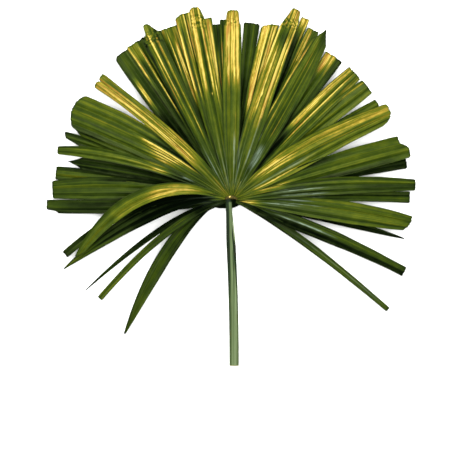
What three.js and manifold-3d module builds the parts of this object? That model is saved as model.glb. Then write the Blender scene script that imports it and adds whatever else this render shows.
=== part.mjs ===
// A cut fan palm leaf, lying face up on a table.
// Units are millimetres and +Z is up. The leaf is drawn round its hub, where the segments meet, with
// its crown towards +Y and its stalk towards -Y, and is moved at the end so that the middle of its
// footprint is the origin. A bearing is an angle seen from above, in degrees clockwise from +Y.
import * as THREE from "three";
import { mergeVertices } from "three/addons/utils/BufferGeometryUtils.js";
import Module from "manifold-3d";

// Blade
const BLADE_THICKNESS = 0.9;
const FOLD_SLOPE = THREE.MathUtils.degToRad(27);
const ROOT_RADIUS = 5;
const ROOT_WIDTH = 2.6;
const KNEE_SHARE = 0.45; // where a segment's centre line bends, as a share of its reach
const WIDTH_STATIONS = [0, 0.35, 0.7, 1]; // where widths are given, as shares of the length
const STATIONS = 7;

// Heights of the blade's middle surface above the table
const HUB_HEIGHT = 5.6;
const ARCH_HEIGHT = 20;
const TIP_HEIGHT = 1.9;
const LAYER_STEP = 2.7;
const LAYER_START = 0.02;
const LAYER_FULL = 0.25;
const LAYER_DROOP = 0.25; // share of its layer's height that a tip sinks by

// Hub, where the segments' ribs meet, as radius and height pairs from its foot to its crest
const HUB_PROFILE = [[0, 2.4], [7.5, 2.4], [11, 4.4], [9, 6.2], [4.5, 7.1], [0, 7.4]];
const HUB_SIDES = 18;

// Stalk
const STALK_LENGTH = 198;
const STALK_TOP = 4;
const STALK_WIDTH_AT_HUB = 6.8;
const STALK_WIDTH = 10.6; // full width, reached at the widening's share of the length
const STALK_WIDENING = 0.35;
const STALK_DEPTH = 5.2;
const STALK_RISE = 3.4; // how far the stalk's underside is off the table at the hub
const STALK_RISE_LENGTH = 75;
const STALK_SIDE = -4.4; // sideways place of the stalk's middle at the hub
const STALK_LEAN = 6.4; // sideways bend between hub and cut end
const STALK_STATIONS = 12;
// Half-round section with a shallow channel on its upper side, as shares of the width and the depth
const STALK_SECTION = [
  [-0.17, 0], [0.17, 0], [0.38, 0.16], [0.5, 0.46], [0.45, 0.78], [0.27, 1], [0, 0.9],
  [-0.27, 1], [-0.45, 0.78], [-0.5, 0.46], [-0.38, 0.16],
];

// Hastula, the small crest on the upper side where the stalk ends
const HASTULA_LENGTH = 15;
const HASTULA_WIDTH = 4.6;
const HASTULA_DEPTH = 4.2;
const HASTULA_PLACE = [-1, 3.8, 7.6];
const HASTULA_BOW = 2.2; // how far its ends lie behind its middle
const HASTULA_STATIONS = 9;
const HASTULA_SIDES = 8;
const HASTULA_TAPER = 0.93; // how far it thins by its ends

const SEAT_GAP = 0.3;

// Finishes, as colour and roughness
const BLADE_GREEN = [0x4f6b1c, 0.4];
const STALK_GREEN = [0x6f8a4a, 0.5];
const HASTULA_BROWN = [0x9a7428, 0.6];

// Ends of the segments: how far the blade stops short of the reach, from left edge to right edge
const CUT = [2, 0, 0, 2];
const SLANT_LEFT = [8, 3, 0, 0];
const SLANT_RIGHT = [0, 0, 3, 8];
const SHARP_LEFT = [20, 3, 0, 0];
const ROUND_LEFT = [12, 3, 0, 2, 9];
const ROUND_RIGHT = [4, 0, 0, 4, 14];
const DOME = [5, 1, 0, 2, 12];
const NECK = [16, 2, 0, 0, 0, 2, 16];
const NOTCHED = [3, 0, 3, 0, 3];
const POINT = [1, 0, 1];
const ARROW = [17, 0, 17];
const TONGUE = [24, 11, 0, 0, 1, 2, 12];
const TONGUE_RIGHT = [10, 10, 9, 0, 0, 5, 13];
const STEP_LEFT = [13, 12, 0, 0, 0, 0];
const STEP_RIGHT = [9, 9, 0, 0];

// The segments, from the lowest on the left round to the lowest on the right. root and tip are
// bearings at the hub and at the end, reach is the tip's distance from the hub, widths are those at
// the last three width stations, folds counts the pleats, and a higher layer lies on a lower one.
const SEGMENTS = [
  // Left, hanging
  { root: -92, tip: -141.2, knee: 58, reach: 206, widths: [12.5, 16.8, 2], folds: 2, layer: 0, end: POINT },
  { root: -102, tip: -126.6, knee: 70, reach: 197, widths: [9.5, 7, 5.5], folds: 1, layer: 1, end: CUT },
  { root: -93, tip: -121.6, knee: 67, reach: 207, widths: [8.5, 6, 1], folds: 1, layer: 0, end: POINT },
  { root: -75, tip: -112.2, knee: 75, reach: 218, widths: [20, 19, 1.2], folds: 2, layer: 1, end: POINT },
  { root: -68, tip: -110.2, knee: 118, reach: 197, widths: [16, 18, 6], folds: 2, layer: 4, end: SLANT_LEFT },
  { root: -76, tip: -108, knee: 100, reach: 210, widths: [9, 10, 9.6], folds: 1, layer: 2, end: CUT },
  // Left, level
  { root: -95.5, tip: -91.8, reach: 222.5, widths: [14, 17, 16], folds: 2, layer: 0, end: STEP_LEFT },
  { root: -79, tip: -86.6, reach: 215.5, widths: [18, 27, 21], folds: 3, layer: 1, end: CUT },
  { root: -77, tip: -81.1, reach: 214, widths: [10, 16, 16], folds: 2, layer: 0, end: CUT },
  { root: -68.5, tip: -76.6, reach: 202, widths: [11, 17, 13], folds: 2, layer: 1, end: ARROW },
  { root: -63.5, tip: -74, knee: 128, reach: 217, widths: [10, 14, 9.5], folds: 2, layer: 3, end: CUT },
  { root: -64, tip: -69, reach: 216, widths: [9, 14, 11], folds: 2, layer: 0, end: SHARP_LEFT },
  { root: -58.5, tip: -65.3, reach: 206, widths: [16, 17, 12], folds: 3, layer: 2, end: ROUND_LEFT },
  { root: -50, tip: -60.4, reach: 220, widths: [26, 39, 42], folds: 4, layer: 3, end: ROUND_LEFT },
  { root: -40.5, tip: -48.1, reach: 215, widths: [15.5, 16.5, 20], folds: 3, layer: 4, end: NOTCHED },
  // Crown, left
  { root: -40, tip: -36.7, reach: 221, widths: [15, 21.5, 22.5], folds: 2, layer: 0, end: SLANT_LEFT },
  { root: -32, tip: -31.9, reach: 221, widths: [11, 14.5, 16], folds: 2, layer: 1, end: CUT },
  { root: -26.5, tip: -26.6, reach: 233, widths: [15, 20, 22], folds: 3, layer: 3, end: TONGUE_RIGHT },
  { root: -21.5, tip: -20.8, reach: 221, widths: [13, 18.5, 22.5], folds: 3, layer: 0, end: CUT },
  { root: -17, tip: -15, reach: 229, widths: [12, 16, 19.5], folds: 2, layer: 2, end: SLANT_LEFT },
  { root: -11.5, tip: -10.8, reach: 235, widths: [16, 19, 15.5], folds: 3, layer: 3, end: DOME },
  { root: -7, tip: -7.8, reach: 220, widths: [9, 10.5, 11.5], folds: 1, layer: 2, end: CUT },
  { root: -5.5, tip: -4.8, reach: 212, widths: [8, 9.5, 11], folds: 1, layer: 0, end: CUT },
  { root: -3, tip: -2.7, reach: 217, widths: [8, 9, 9], folds: 1, layer: 1, end: CUT },
  { root: -0.5, tip: 0.2, reach: 227, widths: [19, 22.5, 18.5], folds: 3, layer: 4, end: NECK },
  // Crown, right
  { root: 6, tip: 6.4, reach: 213, widths: [9, 14, 19.5], folds: 2, layer: 0, end: CUT },
  { root: 8.5, tip: 12.4, reach: 217, widths: [11, 16, 21.5], folds: 2, layer: 2, end: SLANT_LEFT },
  { root: 14.5, tip: 18.4, reach: 241, widths: [22, 22, 20], folds: 3, layer: 4, end: TONGUE },
  { root: 22.5, tip: 22, reach: 233, widths: [8, 9, 10], folds: 1, layer: 0, end: CUT },
  { root: 24.5, tip: 25.5, reach: 226.5, widths: [9, 13, 15], folds: 1, layer: 1, end: CUT },
  { root: 29, tip: 28.9, reach: 234, widths: [22, 26, 14.5], folds: 3, layer: 3, end: ARROW },
  { root: 36.5, tip: 35.4, reach: 211.5, widths: [12, 18, 24], folds: 2, layer: 1, end: CUT },
  // Right, rising
  { root: 40, tip: 43.9, reach: 212, widths: [17, 24, 20], folds: 3, layer: 2, end: CUT },
  { root: 46, tip: 50.2, reach: 212, widths: [13, 20, 22], folds: 2, layer: 1, end: CUT },
  { root: 53, tip: 56.3, reach: 210, widths: [10, 14, 17], folds: 2, layer: 0, end: CUT },
  { root: 52.5, tip: 60.9, reach: 217, widths: [29, 30, 23], folds: 4, layer: 3, end: ROUND_RIGHT },
  { root: 69, tip: 72.8, reach: 221, widths: [21, 29, 28], folds: 3, layer: 2, end: STEP_RIGHT },
  { root: 75, tip: 77.8, reach: 214, widths: [9, 12, 14], folds: 2, layer: 0, end: CUT },
  // Right, level and hanging
  { root: 77.5, tip: 85.2, reach: 220, widths: [18, 20, 13.5], folds: 3, layer: 3, end: CUT },
  { root: 86, tip: 89, reach: 213, widths: [10, 12, 14], folds: 2, layer: 1, end: CUT },
  { root: 93, tip: 97.4, reach: 216, widths: [20, 26, 18], folds: 3, layer: 2, end: SLANT_RIGHT },
  { root: 98, tip: 102.5, reach: 212, widths: [9.5, 9.5, 1.4], folds: 1, layer: 0, end: POINT },
  { root: 108, tip: 112.5, knee: 120, reach: 223, widths: [17, 14.2, 11], folds: 2, layer: 1, end: CUT },
  { root: 108, tip: 125, knee: 58, reach: 228, widths: [8.9, 7.8, 4.6], folds: 1, layer: 0, end: CUT },
];

const lerp = THREE.MathUtils.lerp;
const smoothstep = THREE.MathUtils.smoothstep;
const wasm = await Module();
wasm.setup();

// A place in plan, from its bearing and its distance from the hub.
function fromHub(bearing, distance) {
  const turn = THREE.MathUtils.degToRad(bearing);
  return new THREE.Vector2(Math.sin(turn) * distance, Math.cos(turn) * distance);
}

// The cubic through four widths: nothing but the root's width at the hub, then the segment's three.
function widthAt(segment, share) {
  const widths = [ROOT_WIDTH, ...segment.widths];
  let sum = 0;
  widths.forEach((width, i) => {
    let weight = 1;
    WIDTH_STATIONS.forEach((station, j) => {
      if (j !== i) weight *= (share - station) / (WIDTH_STATIONS[i] - station);
    });
    sum += width * weight;
  });
  return sum;
}

// The end's setback at a place across the blade, from -1 at the left edge to 1 at the right.
function setbackAt(end, across) {
  const place = ((across + 1) / 2) * (end.length - 1);
  const step = Math.min(Math.floor(place), end.length - 2);
  return lerp(end[step], end[step + 1], place - step);
}

// The blade's middle surface along a segment: a low arch from hub to tip, raised by its layer.
function heightAt(segment, share) {
  const rest = 1 - share;
  const arch = rest * rest * HUB_HEIGHT + 2 * share * rest * ARCH_HEIGHT + share * share * TIP_HEIGHT;
  const lift = smoothstep(share, LAYER_START, LAYER_FULL) * (1 - LAYER_DROOP * share * share);
  return arch + segment.layer * LAYER_STEP * lift;
}

// A closed thin sheet over a grid of points, as thick upwards as the blade, the same triangles
// on both faces.
function sheetSolid(rows, columns, pointAt) {
  const positions = [];
  for (const side of [0.5, -0.5]) {
    for (let row = 0; row < rows; row += 1) {
      for (let column = 0; column < columns; column += 1) {
        const point = pointAt(row / (rows - 1), column / (columns - 1));
        positions.push(point.x, point.y, point.z + side * BLADE_THICKNESS);
      }
    }
  }
  const under = rows * columns;
  const at = (row, column) => row * columns + column;
  const faces = [];
  for (let row = 0; row + 1 < rows; row += 1) {
    for (let column = 0; column + 1 < columns; column += 1) {
      const [a, b] = [at(row, column), at(row, column + 1)];
      const [c, d] = [at(row + 1, column), at(row + 1, column + 1)];
      faces.push(a, b, d, a, d, c);
      faces.push(a + under, d + under, b + under, a + under, c + under, d + under);
    }
  }
  const rim = [];
  for (let column = 0; column < columns; column += 1) rim.push(at(0, column));
  for (let row = 1; row < rows; row += 1) rim.push(at(row, columns - 1));
  for (let column = columns - 2; column >= 0; column -= 1) rim.push(at(rows - 1, column));
  for (let row = rows - 2; row > 0; row -= 1) rim.push(at(row, 0));
  rim.forEach((from, i) => {
    const to = rim[(i + 1) % rim.length];
    faces.push(from, to + under, to, from, from + under, to + under);
  });
  return closedGeometry(positions, faces);
}

// A closed solid skinned over rings of equally many points, with a fan on each end ring.
function loftSolid(rings) {
  const count = rings[0].length;
  const positions = rings.flat().flatMap((point) => [point.x, point.y, point.z]);
  const faces = [];
  for (let ring = 0; ring + 1 < rings.length; ring += 1) {
    for (let i = 0; i < count; i += 1) {
      const [a, b] = [ring * count + i, ring * count + ((i + 1) % count)];
      faces.push(a, b, b + count, a, b + count, a + count);
    }
  }
  const last = (rings.length - 1) * count;
  for (let i = 1; i + 1 < count; i += 1) {
    faces.push(0, i + 1, i, last, last + i, last + i + 1);
  }
  return closedGeometry(positions, faces);
}

function closedGeometry(positions, faces) {
  return new THREE.BufferGeometry()
    .setAttribute("position", new THREE.Float32BufferAttribute(positions, 3))
    .setIndex(faces);
}

function toManifold(geometry) {
  const bare = geometry.clone();
  bare.deleteAttribute("normal");
  bare.deleteAttribute("uv");
  const merged = mergeVertices(bare);
  return new wasm.Manifold(
    new wasm.Mesh({
      numProp: 3,
      vertProperties: merged.attributes.position.array,
      triVerts: new Uint32Array(merged.index.array),
    }),
  );
}

// The outermost closed surface of a solid: scraps are dropped and sealed hollows are filled.
function toGeometry(solid) {
  const [largest] = solid.decompose().sort((a, b) => b.volume() - a.volume());
  const mesh = largest.getMesh();
  return closedGeometry(Array.from(mesh.vertProperties), Array.from(mesh.triVerts));
}

// One segment: its centre line bends once in plan, and across it the blade is pleated, with its
// edges and every second fold line high.
function segmentSolid(segment) {
  const knee = segment.knee ?? KNEE_SHARE * segment.reach;
  const centre = new THREE.QuadraticBezierCurve(
    fromHub(segment.root, ROOT_RADIUS),
    fromHub(segment.root, knee),
    fromHub(segment.tip, segment.reach),
  );
  const foldLines = 2 * segment.folds + 1;
  const pointAt = (length, breadth) => {
    const across = 2 * breadth - 1;
    const share = length * (1 - setbackAt(segment.end, across) / segment.reach);
    const width = widthAt(segment, share);
    const centrePoint = centre.getPoint(share);
    const tangent = centre.getTangent(share);
    const onCrest = Math.round(breadth * (foldLines - 1)) % 2 === 0;
    const faceRise = (width / (foldLines - 1)) * Math.tan(FOLD_SLOPE);
    return new THREE.Vector3(
      centrePoint.x + (tangent.y * across * width) / 2,
      centrePoint.y - (tangent.x * across * width) / 2,
      heightAt(segment, share) + (onCrest ? 0.5 : -0.5) * faceRise,
    );
  };
  return toManifold(sheetSolid(STATIONS, foldLines, pointAt));
}

function hubSolid() {
  const profile = HUB_PROFILE.map(([radius, height]) => new THREE.Vector2(radius, height));
  return toManifold(new THREE.LatheGeometry(profile, HUB_SIDES).rotateX(Math.PI / 2));
}

// The stalk runs from under the hastula down to the table and along it. margin swells it all round.
function stalkGeometry(margin = 0) {
  const rings = [];
  const reach = STALK_TOP + STALK_LENGTH + 2 * margin;
  for (let station = 0; station < STALK_STATIONS; station += 1) {
    const share = station / (STALK_STATIONS - 1);
    const y = STALK_TOP + margin - share * reach;
    const fromHubShare = THREE.MathUtils.clamp(-y / STALK_LENGTH, 0, 1);
    const widened = smoothstep(fromHubShare, 0, STALK_WIDENING);
    const width = lerp(STALK_WIDTH_AT_HUB, STALK_WIDTH, widened) + 2 * margin;
    const x = STALK_SIDE + STALK_LEAN * fromHubShare * (2 - fromHubShare);
    const foot = STALK_RISE * smoothstep(y, -STALK_RISE_LENGTH, 0) - margin;
    rings.push(STALK_SECTION.map(([across, up]) =>
      new THREE.Vector3(x + across * width, y, foot + up * (STALK_DEPTH + 2 * margin))));
  }
  return loftSolid(rings);
}

// The hastula is a bowed bead that thins towards both ends. margin swells it all round.
function hastulaGeometry(margin = 0) {
  const rings = [];
  for (let station = 0; station < HASTULA_STATIONS; station += 1) {
    const share = (2 * station) / (HASTULA_STATIONS - 1) - 1;
    const swell = Math.sqrt(1 - HASTULA_TAPER * share * share);
    const ring = [];
    for (let side = 0; side < HASTULA_SIDES; side += 1) {
      const turn = (2 * Math.PI * side) / HASTULA_SIDES;
      ring.push(new THREE.Vector3(
        HASTULA_PLACE[0] + share * (HASTULA_LENGTH / 2 + margin),
        HASTULA_PLACE[1] - HASTULA_BOW * share * share
          + Math.cos(turn) * ((HASTULA_WIDTH / 2) * swell + margin),
        HASTULA_PLACE[2] + Math.sin(turn) * ((HASTULA_DEPTH / 2) * swell + margin),
      ));
    }
    rings.push(ring);
  }
  return loftSolid(rings);
}

function material([color, roughness]) {
  return new THREE.MeshStandardMaterial({ color, roughness, metalness: 0 });
}

function leaf() {
  const stalkRoom = toManifold(stalkGeometry(SEAT_GAP));
  const hastulaRoom = toManifold(hastulaGeometry(SEAT_GAP));
  const blade = wasm.Manifold.union([hubSolid(), ...SEGMENTS.map(segmentSolid)])
    .subtract(stalkRoom)
    .subtract(hastulaRoom);
  const stalk = toManifold(stalkGeometry()).subtract(hastulaRoom);

  const pieces = [
    ["blade", toGeometry(blade), material(BLADE_GREEN)],
    ["petiole", toGeometry(stalk), material(STALK_GREEN)],
    ["hastula", hastulaGeometry(), material(HASTULA_BROWN)],
  ];
  const group = new THREE.Group();
  for (const [name, geometry, finish] of pieces) {
    const mesh = new THREE.Mesh(geometry, finish);
    mesh.name = name;
    group.add(mesh);
  }
  const box = new THREE.Box3().setFromObject(group);
  const middle = box.getCenter(new THREE.Vector3());
  group.position.set(-middle.x, -middle.y, -box.min.z);
  return group;
}

export default leaf();
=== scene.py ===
# A cut fan palm leaf, lying face up on a pale floor.
# Tables and shape formulas are in millimetres round the leaf's hub, with the crown towards +Y and the
# stalk towards -Y. Meshes are moved to the leaf's place and turned to metres as they are made.
import math
from collections import namedtuple

import bpy
import numpy as np
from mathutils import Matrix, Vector


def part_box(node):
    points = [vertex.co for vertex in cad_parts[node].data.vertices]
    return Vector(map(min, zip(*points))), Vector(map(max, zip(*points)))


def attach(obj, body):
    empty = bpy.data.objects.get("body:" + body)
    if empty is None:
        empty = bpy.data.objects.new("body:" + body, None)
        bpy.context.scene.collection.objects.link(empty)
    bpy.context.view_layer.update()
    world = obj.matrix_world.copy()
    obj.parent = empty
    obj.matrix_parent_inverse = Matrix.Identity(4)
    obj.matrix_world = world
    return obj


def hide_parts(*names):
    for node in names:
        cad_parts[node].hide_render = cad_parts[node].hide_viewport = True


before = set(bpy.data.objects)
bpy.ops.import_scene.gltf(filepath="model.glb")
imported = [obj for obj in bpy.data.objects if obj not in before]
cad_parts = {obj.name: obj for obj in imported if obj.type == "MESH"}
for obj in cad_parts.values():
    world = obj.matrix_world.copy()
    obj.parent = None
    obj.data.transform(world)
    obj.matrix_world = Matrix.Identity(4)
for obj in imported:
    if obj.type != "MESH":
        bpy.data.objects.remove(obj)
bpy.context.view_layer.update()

MM = 0.001
SHARP_ANGLE = math.radians(50)

# Blade
SHEET = 0.5
FOLD_SLOPE = math.radians(26)
FOLD_SOFTNESS = 0.95
ROOT_RADIUS = 5
ROOT_WIDTH = 2.6
KNEE_SHARE = 0.45
WIDTH_STATIONS = (0, 0.35, 0.7, 1)
ROWS = 96
COLUMNS_A_FACE = 9
VEINS_A_FACE = 2
END_STRETCH = 0.62
FLOOR_CLEARANCE = 0.03
HIGHEST_LAYER = 4
STREAK_FADE = 0.07
TOOTH_HEIGHT = 0.45
WIDTH_WAVE = 0.012
FOLD_UNEVENNESS = 0.07
RIDGE_HEIGHT = 0.32
RIDGE_HALF = 0.5
RIDGE_CUT = 0.12
VEIN_HEIGHT = 0.035
PUCKER_HEIGHT = 0.4
PUCKER_EDGE = 0.012
SLOW_WAVE_HEIGHT = 0.5
TWIST = math.radians(4)
EDGE_DROOP = 0.035
EDGE_THINNING = 0.6

# Segments whose roots lie within this bearing of the crown are rustier and a little paler.
CROWN_HALF = 46
CROWN_GAIN = 0.03
CROWN_RUST = 0.75
SIDE_RUST = 0.15
# Those nearer still have a painted sheen along their pleats' crests near the hub.
RIBBED_HALF = 35
CROWN_RIB_SHEEN = 0.5
SIDE_RIB_SHEEN = 0.12
# Above the lowest layer, roots in the upper half of the fan share one tone, and those that lie further
# left than this bearing share a paler one.
UPPER_HALF = 90
ROOT_TONE = 0.53
LEFT_ROOT = -35
LEFT_ROOT_TONE = 0.58

# First seed of the random numbers, and how far apart the segments' strips of noise lie
SEED = 1200
NOISE_STEP = 40

# Heights of the blade's middle surface above the floor
HUB_HEIGHT = 5.6
ARCH_HEIGHT = 20
TIP_HEIGHT = 1.9
LAYER_STEP = 2.7
LAYER_START = 0.02
LAYER_FULL = 0.25
LAYER_DROOP = 0.25

# Hub: height of each ring with its share of the outline's reach, and the outline as pairs of bearing
# and radius
HUB_RINGS = ((6.0, 0), (5.9, 0.45), (4.8, 0.85), (3.9, 1), (3.2, 0.9), (2.8, 0))
HUB_OUTLINE = ((-180, 9), (-151, 10), (-130, 14.5), (-114, 21), (-103, 29), (-92, 27), (-80, 11),
               (0, 9), (80, 10), (92, 18), (99, 18), (110, 13), (125, 10), (150, 9), (180, 9))
HUB_ROWS = 40
HUB_SIDES = 240

# Stalk
STALK_LENGTH = 198
STALK_TOP = 4
STALK_WIDTH_AT_HUB = 7.2
STALK_WIDTH = 11.2
STALK_WIDENING = 0.3
STALK_DEPTH = 5.2
STALK_RISE = 3.4
STALK_RISE_LENGTH = 75
STALK_SIDE = -4.4
STALK_LEAN = 7
STALK_STATIONS = 240
STALK_SIDES = 96

# Stripes of the stalk: each table gives shares of the way down it, then a value at each. Places across
# it run from -0.5 at its left side to 0.5 at its right.
CHANNEL_PLACE = ((0, 0.2, 0.3, 0.4, 1), (0.25, 0.33, 0.34, 0.38, 0.4))
LINE_PLACE = ((0.3, 0.45, 0.54, 0.63, 0.75), (0.17, 0.155, 0.105, 0.07, 0.04))
LINE_STRENGTH = ((0.28, 0.34, 0.45, 0.54, 0.63, 0.8), (0, 0.4, 1, 0.7, 0.3, 0))
STALK_TONE = ((0, 0.13, 0.28, 0.6), (0.66, 0.7, 0.74, 0.78))
# LEFT_SHADE and RIGHT_SHADE are bands of painted shade down the stalk's sides, which begin across it at
# LEFT_EDGE and RIGHT_EDGE.
LEFT_EDGE = ((0.05, 0.13, 0.21, 0.28, 0.45, 0.6, 1), (0.01, -0.08, -0.12, -0.15, -0.2, -0.25, -0.28))
LEFT_SHADE = ((0.05, 0.13, 0.21, 0.28, 0.36, 0.45, 0.6, 1),
              (0.58, 0.64, 0.72, 0.74, 0.66, 0.56, 0.4, 0.25))
RIGHT_EDGE = ((0.1, 0.15, 0.21, 0.28, 0.36, 0.45, 0.54, 1),
              (0.45, 0.26, 0.17, 0.2, 0.26, 0.33, 0.37, 0.34))
RIGHT_SHADE = ((0.08, 0.14, 0.21, 0.3, 0.36, 0.5, 0.7, 1), (0, 0.3, 0.78, 0.76, 0.5, 0.5, 0.4, 0.3))

# Hastula
HASTULA_LENGTH = 15
HASTULA_WIDTH = 4.6
HASTULA_DEPTH = 4.2
HASTULA_PLACE = (-1, 3.8, 7.6)
HASTULA_BOW = 2.2
HASTULA_TAPER = 0.93
HASTULA_STATIONS = 90
HASTULA_SIDES = 40
# Place of the painted highlight on the crest
HIGHLIGHT_PLACE = (-2.6, 4.4)

# The camera looks straight down, and the hub falls on this pixel of a 450 by 450 frame.
FRAME_PIXELS = 450
HUB_PIXEL = (232, 200.5)
MM_A_PIXEL = 1.2
CAMERA_HEIGHT = 1500
SENSOR = 36

# The floor is a square that reaches this far from the hub to each side.
FLOOR_REACH = 4000

# Ends of the segments: places across, from -1 at the left edge to 1 at the right, with how far the
# blade stops short of the reach there
CUT = ((-1, 2), (-0.93, 0.6), (-0.8, 0), (0.8, 0), (0.93, 0.6), (1, 2))
SLANT_LEFT = ((-1, 8), (-0.88, 6), (-0.33, 2.6), (0.33, 0.2), (0.93, 0), (1, 1))
SLIGHT_LEFT = ((-1, 4.5), (-0.9, 3), (-0.72, 0.6), (-0.5, 0), (0.93, 0), (1, 1))
SOFT_LEFT = ((-1, 5), (-0.88, 3.4), (-0.33, 0.6), (0.2, 0), (0.93, 0), (1, 1))
SLANT_RIGHT = ((-1, 1), (-0.93, 0), (-0.33, 0.2), (0.33, 2.6), (0.88, 6), (1, 8))
SHARP_LEFT = ((-1, 20), (-0.33, 3), (0.33, 0.6), (0.9, 0), (1, 0.8))
ROUND_LEFT = ((-1, 12), (-0.93, 8), (-0.8, 5.6), (-0.5, 2.6), (-0.2, 0.5), (0.05, 0), (0.4, 1), (0.7, 3),
              (0.88, 5.6), (1, 9.5))
ROUND_RIGHT = ((-1, 5), (-0.95, 2), (-0.85, 0.6), (-0.6, 0), (0, 0), (0.35, 1.4), (0.6, 4), (0.8, 7.5),
               (0.93, 11), (1, 15))
DOME = ((-1, 4.5), (-0.93, 2.6), (-0.8, 1.1), (-0.55, 0.2), (0, 0), (0.35, 0.3), (0.55, 1.4), (0.72, 3.6),
        (0.86, 8), (1, 13))
NECK = ((-1, 17), (-0.86, 14), (-0.78, 3), (-0.6, 0.4), (0, 0), (0.6, 0.4), (0.8, 3), (0.86, 14), (1, 17))
NOTCHED = ((-1, 3), (-0.85, 0.8), (-0.45, 0), (-0.12, 1), (0, 3.2), (0.12, 1.2), (0.5, 0), (0.88, 0.8),
           (1, 3))
POINT = ((-1, 1), (0, 0), (1, 1))
ARROW = ((-1, 17), (-0.55, 10), (0, 0), (0.5, 9.5), (1, 17))
TONGUE = ((-1, 24), (-0.66, 11.5), (-0.36, 0.6), (-0.25, 0), (0.35, 0.8), (0.62, 1.6), (0.74, 4), (0.85, 11),
          (1, 13))
TONGUE_RIGHT = ((-1, 12.5), (-0.5, 12.5), (-0.4, 10), (-0.34, 4.5), (-0.26, 1.6), (-0.12, 0.2), (0.06, 0),
                (0.2, 0.8), (0.34, 3), (0.5, 6), (0.66, 9.5), (0.78, 12), (1, 14))
STEP_LEFT = ((-1, 13), (-0.8, 12), (-0.62, 9), (-0.52, 1.4), (-0.4, 0), (0.93, 0), (1, 1))
STEP_RIGHT = ((-1, 10), (-0.9, 9), (-0.36, 8.6), (-0.28, 6), (-0.1, 3.2), (0.06, 0.8), (0.3, 0), (0.8, 0),
              (0.93, 1), (1, 2.6))

Segment = namedtuple("Segment", "root tip reach widths folds layer end tone streaks knee sheen crimp")


def segment(root, tip, reach, widths, folds, layer, end, tone, *streaks, knee=None, sheen=(), crimp=None):
    """One row of the table below. reach is how far the tip lies from the hub, end is its outline, and
    knee is how far out the root's direction holds, where that isn't the usual share of the reach. tone
    runs from 0, nearly black, through green at 0.45 and olive at 0.7 to pale gold at 1; a low tone is
    partly painted shade where a segment lies under others. A streak is a band along the blade: its middle
    across, its half width, where it starts and ends along the length, and how much it adds to the tone.
    Dark streaks are partly painted shadow and shade, and gold ones partly painted warm highlight, besides
    the leaf's own colour. A band of sheen is a painted reflection, put the same way, with its strength.
    crimp is the stretch along the length that is puckered."""
    return Segment(root, tip, reach, widths, folds, layer, end, tone, streaks, knee, sheen, crimp)
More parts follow.
